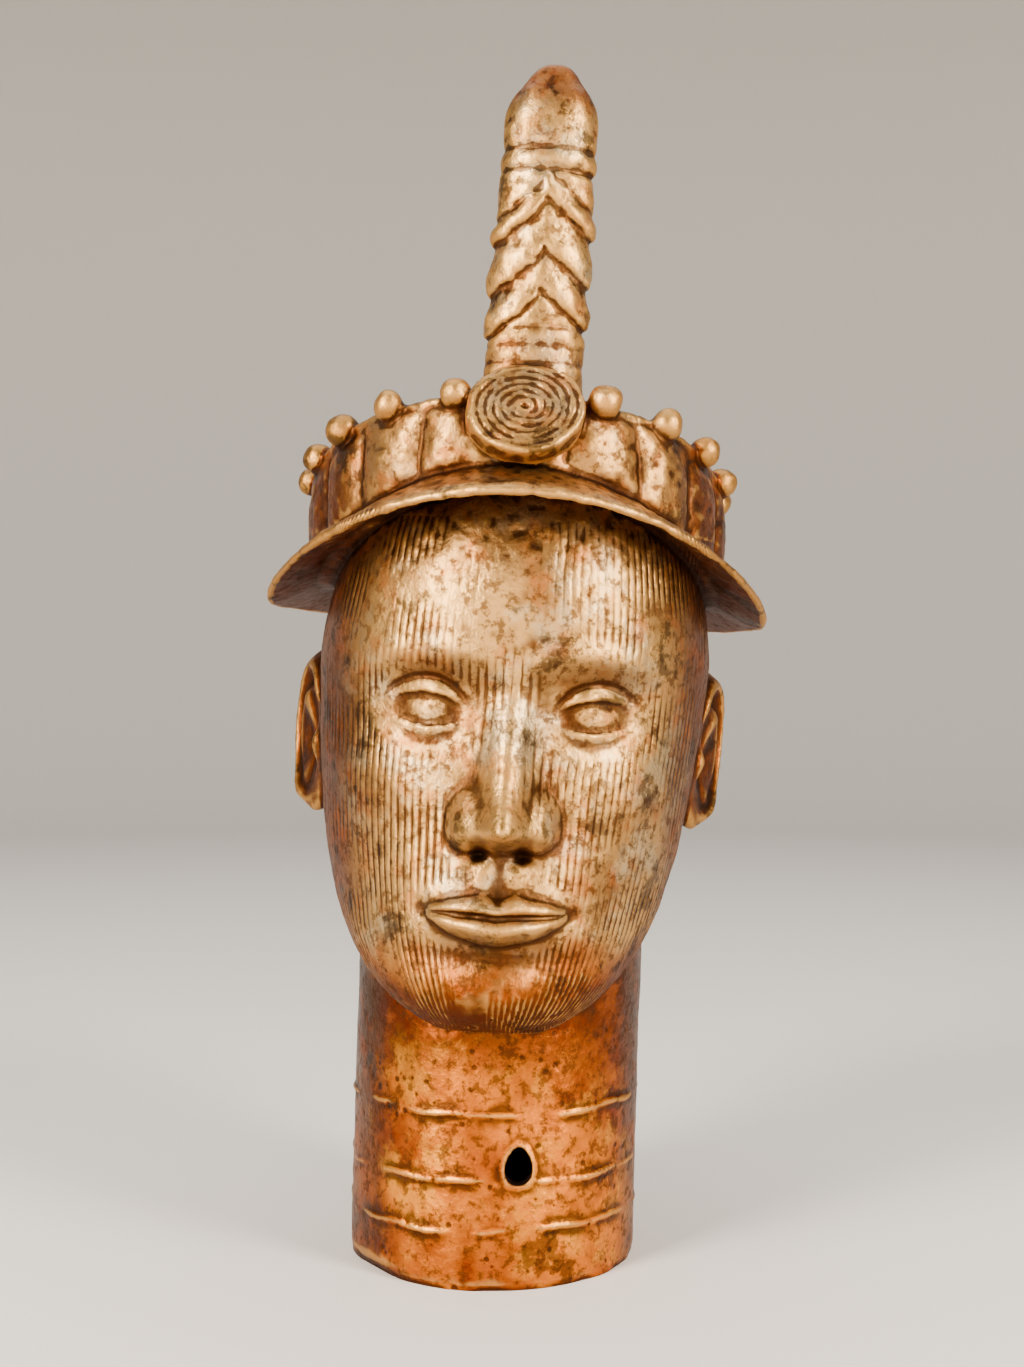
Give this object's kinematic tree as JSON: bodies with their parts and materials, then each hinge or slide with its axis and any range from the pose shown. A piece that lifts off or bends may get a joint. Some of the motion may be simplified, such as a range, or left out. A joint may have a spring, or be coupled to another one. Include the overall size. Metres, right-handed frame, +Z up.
{
  "type": "crowned bronze head",
  "caption": "Hollow cast-bronze head with a flared beaded crown, coiled disc and upright braided crest, standing on its open ribbed neck.",
  "frame": {"origin": "on the plane it stands on, under the middle of the crown's brim", "axes": "+Z up, -Y the way the face looks, +X to the right of someone who looks at the face"},
  "size_m": [0.1488, 0.164, 0.3355],
  "materials": {
    "bronze": "old lost-wax cast copper alloy, worn golden on the high places, dark red-brown and blackish in the hollows"
  },
  "bodies": {
    "root": {"bronze_head": "bronze"}
  },
  "joints": []
}
